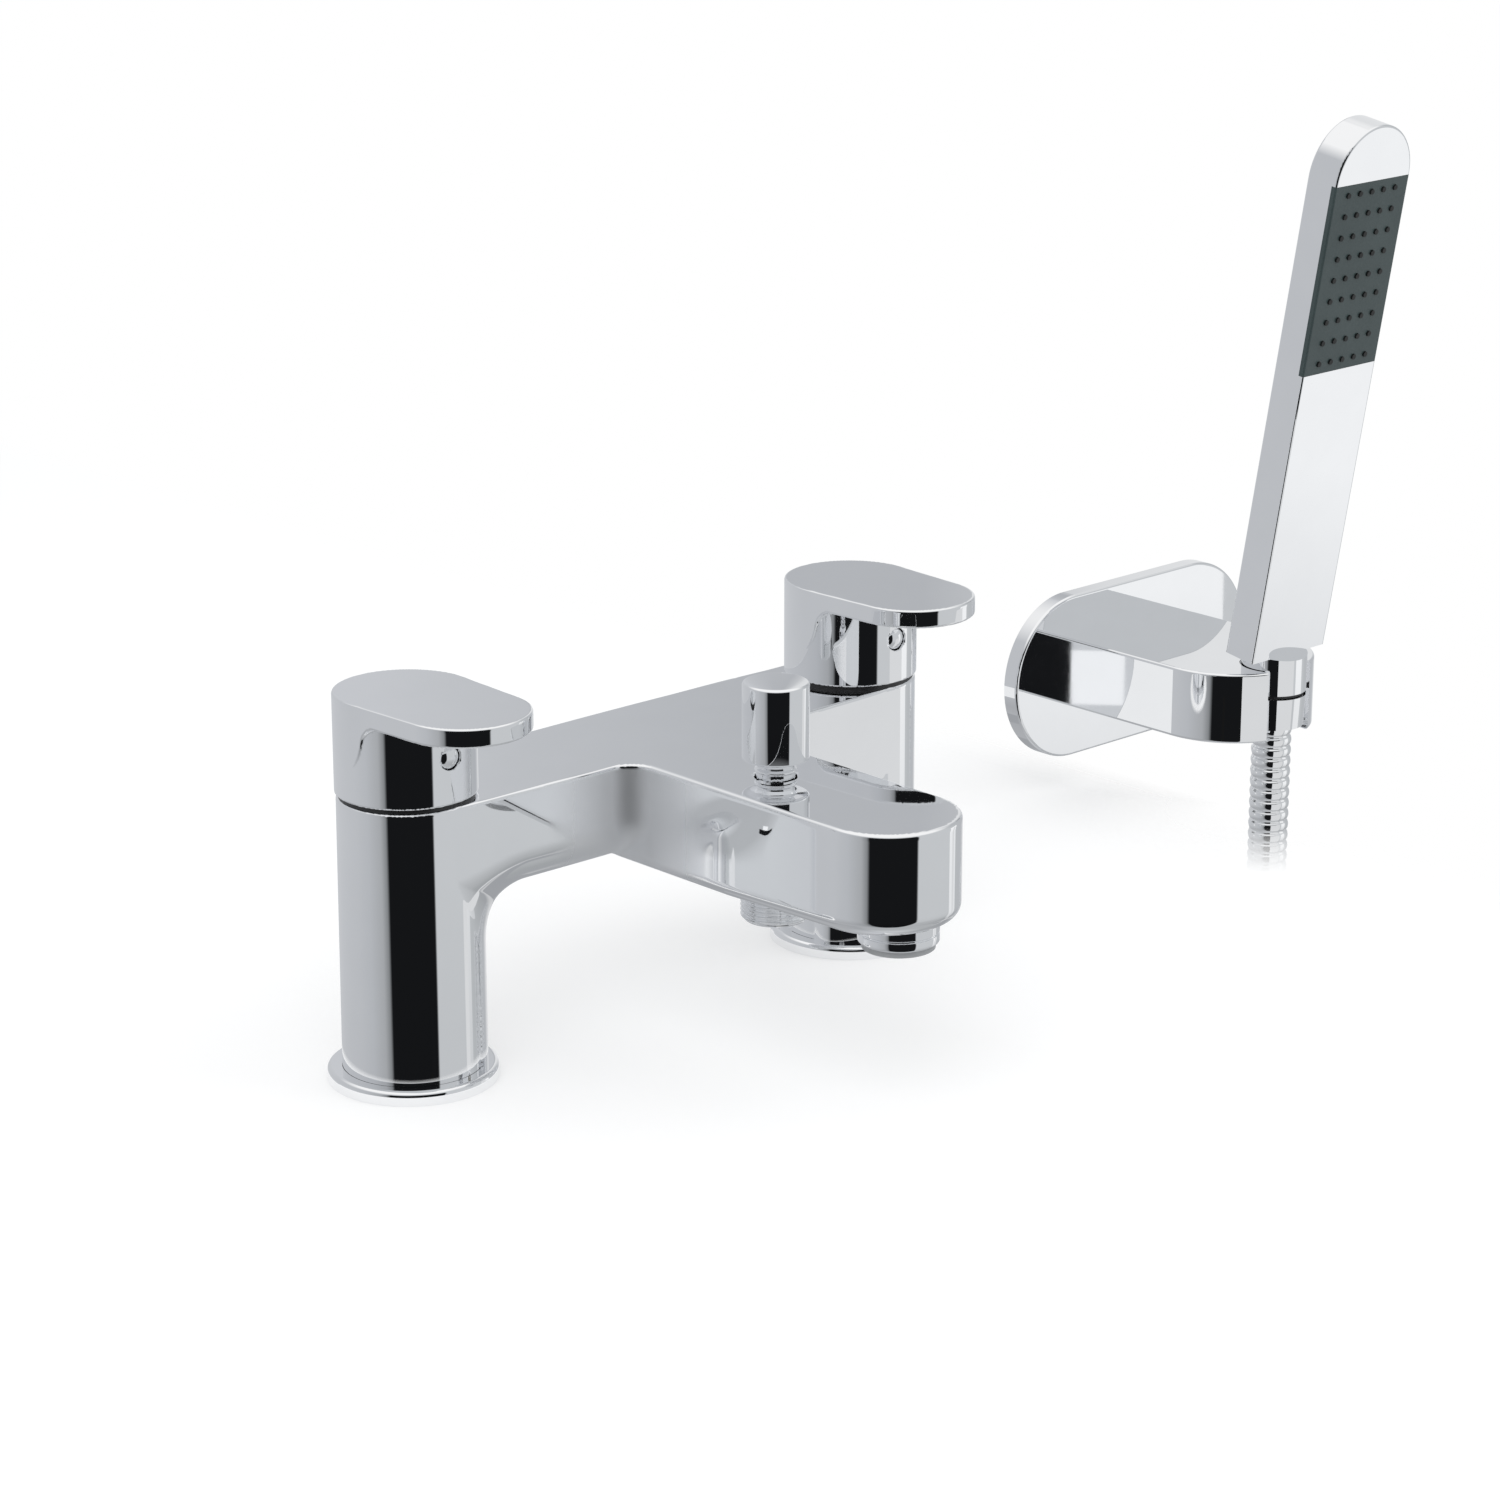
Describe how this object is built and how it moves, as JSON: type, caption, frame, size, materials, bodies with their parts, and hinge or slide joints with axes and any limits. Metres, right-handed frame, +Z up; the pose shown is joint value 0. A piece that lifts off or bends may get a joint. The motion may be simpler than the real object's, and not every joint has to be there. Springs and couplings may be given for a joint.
{
  "type": "bath shower mixer",
  "caption": "Deck-mounted bath mixer with two lever valves, a flat spout with pull-up diverter, and a flat handset on a ribbed hose in a wall holder.",
  "frame": {"origin": "on the deck plane, midway between the two inlet pillars", "axes": "+X from the hot pillar to the cold one, -Y along the spout to its tip, +Z up from the deck"},
  "size_m": [0.549, 0.1892, 0.4568],
  "materials": {
    "chrome": "polished chrome plating",
    "brass": "machined brass",
    "rubber": "matt black rubber",
    "steel": "plain stainless steel",
    "ceramic": "polished ceramic",
    "black_plastic": "black moulded plastic",
    "white_plastic": "white moulded plastic",
    "grey_plastic": "light grey moulded plastic",
    "spray_face": "dark slate moulded plastic, satin",
    "nozzle_rubber": "matt black silicone",
    "hose_metal": "polished metal strip, wound in ribs",
    "tie_band": "thin white plastic band"
  },
  "bodies": {
    "fixture": {"mixer_body": "chrome", "hot_flange": "chrome", "cold_flange": "chrome", "hot_seal": "rubber", "cold_seal": "rubber", "hot_tail": "brass", "cold_tail": "brass", "hot_rubber_washer": "rubber", "cold_rubber_washer": "rubber", "hot_clamp_washer": "steel", "cold_clamp_washer": "steel", "hot_backnut": "brass", "cold_backnut": "brass", "hot_cartridge": "brass", "cold_cartridge": "brass", "hot_seat_seal": "rubber", "cold_seat_seal": "rubber", "hot_fixed_disc": "ceramic", "cold_fixed_disc": "ceramic", "hot_glide_ring": "black_plastic", "cold_glide_ring": "black_plastic", "diverter_bush": "brass", "diverter_spring": "steel", "shower_outlet": "chrome", "check_valve": "white_plastic", "aerator_housing": "chrome", "aerator_insert": "grey_plastic", "aerator_washer": "rubber", "wall_plate": "chrome", "fixing_plate": "steel", "holder_arm": "chrome", "arm_screws": "steel", "plate_grub_screw": "steel", "hose_run": "hose_metal", "hose_coil": "hose_metal", "hose_ties": "tie_band", "hose_end_nut": "chrome", "hose_end_washer": "rubber"},
    "hot_lever": {"hot_moving_disc": "ceramic", "hot_stem": "brass", "hot_handle": "chrome", "hot_grub_screw": "steel", "hot_index_cap": "chrome"},
    "cold_lever": {"cold_moving_disc": "ceramic", "cold_stem": "brass", "cold_handle": "chrome", "cold_grub_screw": "steel", "cold_index_cap": "chrome"},
    "diverter": {"diverter_spool": "brass", "diverter_seal": "rubber", "diverter_knob": "chrome"},
    "hose_nut": {"hose_nut": "chrome"},
    "handset": {"handset_body": "chrome", "handset_neck": "chrome", "neck_ring": "black_plastic", "spray_panel": "spray_face", "spray_nozzles": "nozzle_rubber"}
  },
  "joints": [
    {"name": "hot_lever_turn", "type": "hinge", "parent": "fixture", "child": "hot_lever", "pos_m": [-0.09, 0, 0.1], "axis": [0, 0, -1], "range_deg": [0, 90]},
    {"name": "cold_lever_turn", "type": "hinge", "parent": "fixture", "child": "cold_lever", "pos_m": [0.09, 0, 0.1], "axis": [0, 0, 1], "range_deg": [0, 90]},
    {"name": "diverter_pull", "type": "slide", "parent": "fixture", "child": "diverter", "axis": [0, 0, 1], "range_m": [0, 0.0059], "stiffness_N_per_m": 150, "springref_m": -0.006, "deforming": ["diverter_spring"]},
    {"name": "handset_lift", "type": "slide", "parent": "fixture", "child": "hose_nut", "axis": [0, 0, 1], "range_m": [0, 0.045]},
    {"name": "handset_swivel", "type": "hinge", "parent": "hose_nut", "child": "handset", "pos_m": [0.285, -0.0115, 0.045], "axis": [0, 0, 1], "continuous": true}
  ]
}
